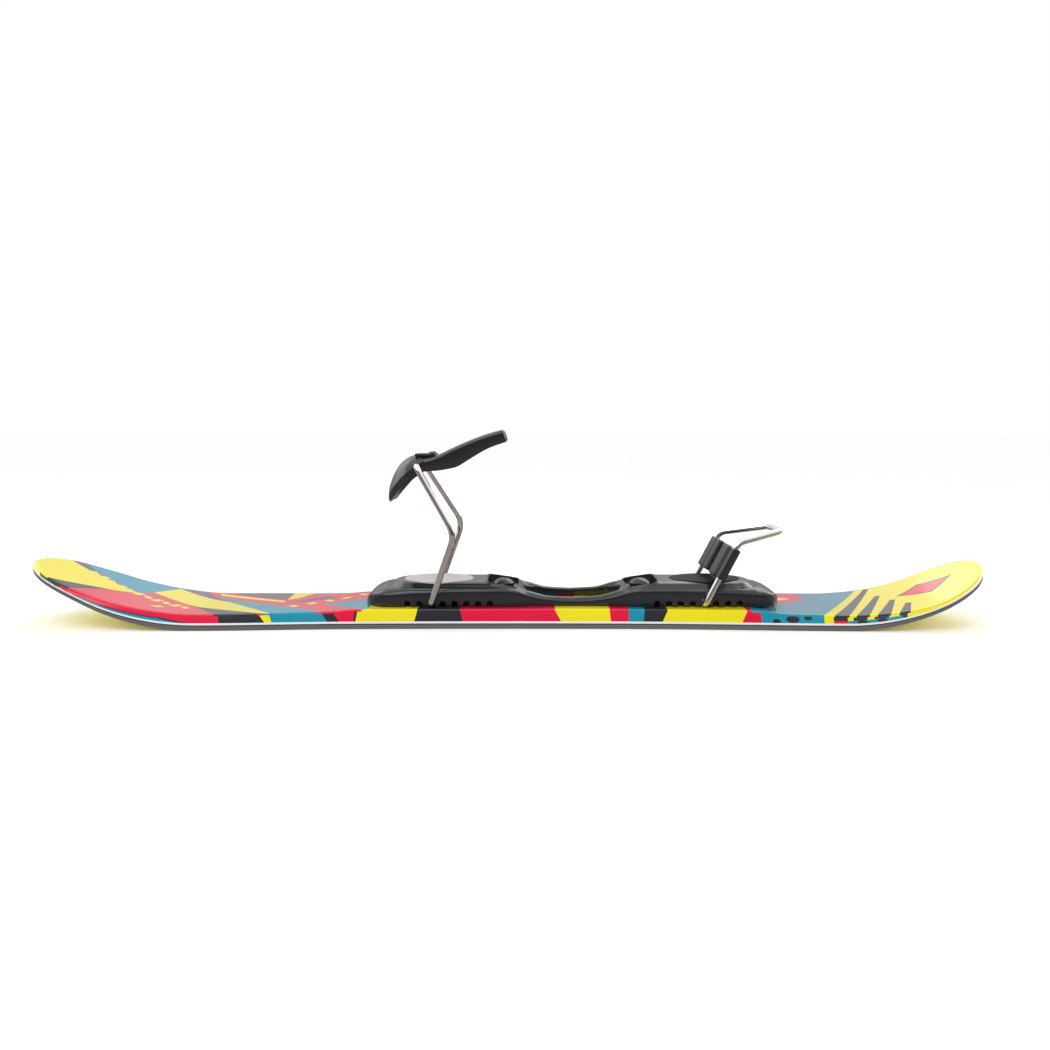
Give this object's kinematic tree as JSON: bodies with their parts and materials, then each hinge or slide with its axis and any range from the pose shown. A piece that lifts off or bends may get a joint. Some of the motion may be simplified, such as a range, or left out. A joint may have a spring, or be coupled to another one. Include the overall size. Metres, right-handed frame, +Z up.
{
  "type": "short twin-tip ski with plate binding",
  "caption": "Short twin-tip board with a plate binding on its centre line: a wire toe bail with an over-centre lever and a wire heel bail with a ribbed block.",
  "frame": {"origin": "bottom centre of the board, on the running base", "axes": "+X towards the tail (heel end), -X towards the tip (toe end), +Y across, +Z up"},
  "size_m": [0.9874, 0.1188, 0.1997],
  "materials": {
    "running_base": "yellow sintered plastic, satin",
    "edge_steel": "ground steel",
    "laminate": "dark fibre laminate",
    "side_strip": "pale gloss strip",
    "core_wood": "laminated core",
    "topsheet": "printed gloss cap in yellow, crimson, teal and black",
    "insert_brass": "machined",
    "black_plastic": "moulded black, satin gloss",
    "screw_steel": "zinc plated",
    "grey_plastic": "light grey moulding, satin",
    "pad_rubber": "matte moulded rubber",
    "wire_steel": "polished bent wire"
  },
  "bodies": {
    "board": {"base_sheet": "running_base", "steel_edge_left": "edge_steel", "steel_edge_right": "edge_steel", "lower_laminate": "laminate", "side_strip_left": "side_strip", "side_strip_right": "side_strip", "wood_core": "core_wood", "topsheet_cap": "topsheet", "insert_nuts": "insert_brass", "binding_plate": "black_plastic", "front_mount_screws": "screw_steel", "rear_mount_screws": "screw_steel", "front_cover_disc": "grey_plastic", "rear_foot_pad": "pad_rubber", "lock_screws": "screw_steel", "lock_washers": "screw_steel", "lock_caps": "black_plastic"},
    "toe_bail": {"toe_bail": "wire_steel"},
    "toe_lever": {"toe_lever": "black_plastic", "lever_keeper": "black_plastic", "keeper_screws": "screw_steel"},
    "heel_bail": {"heel_bail": "wire_steel", "heel_block_body": "black_plastic", "heel_block_cover": "black_plastic", "heel_block_screws": "screw_steel"}
  },
  "joints": [
    {"name": "toe_bail_pivot", "type": "hinge", "parent": "board", "child": "toe_bail", "pos_m": [-0.077, 0, 0.0233], "axis": [0, 1, 0], "range_deg": [-60, 40]},
    {"name": "toe_lever_pivot", "type": "hinge", "parent": "toe_bail", "child": "toe_lever", "pos_m": [-0.0902, 0, 0.1622], "axis": [0, 1, 0], "range_deg": [-90, 45]},
    {"name": "heel_bail_pivot", "type": "hinge", "parent": "board", "child": "heel_bail", "pos_m": [0.201, 0, 0.0233], "axis": [0, 1, 0], "range_deg": [-50, 3]}
  ]
}
